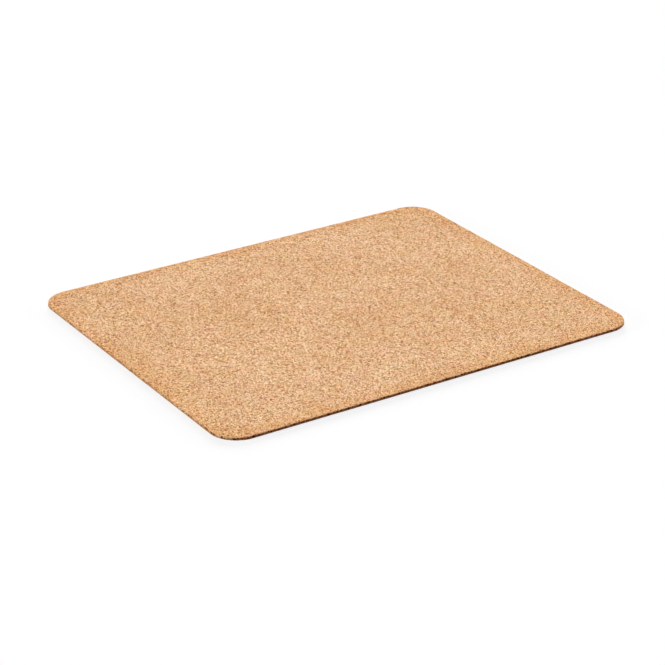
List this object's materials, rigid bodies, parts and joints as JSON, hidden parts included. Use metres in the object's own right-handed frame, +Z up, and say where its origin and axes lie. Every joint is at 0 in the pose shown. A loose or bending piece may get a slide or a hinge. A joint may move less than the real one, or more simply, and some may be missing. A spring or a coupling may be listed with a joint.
{
  "type": "cork desk mat",
  "caption": "Flat rounded-rectangle mat of pressed cork on a thin non-slip base, laid on a desk under a mouse, a hand or papers.",
  "frame": {"origin": "on the desk, under the middle of the mat: the centre of the base's lower face", "axes": "+X along the long side, +Y along the short side towards the back, +Z up from the desk through the cork"},
  "size_m": [0.25, 0.2, 0.0015],
  "materials": {
    "cork": "matte",
    "adhesive": "satin",
    "base": "matte"
  },
  "bodies": {
    "root": {"cork_sheet": "cork", "adhesive_film": "adhesive", "nonslip_base": "base"}
  },
  "joints": []
}
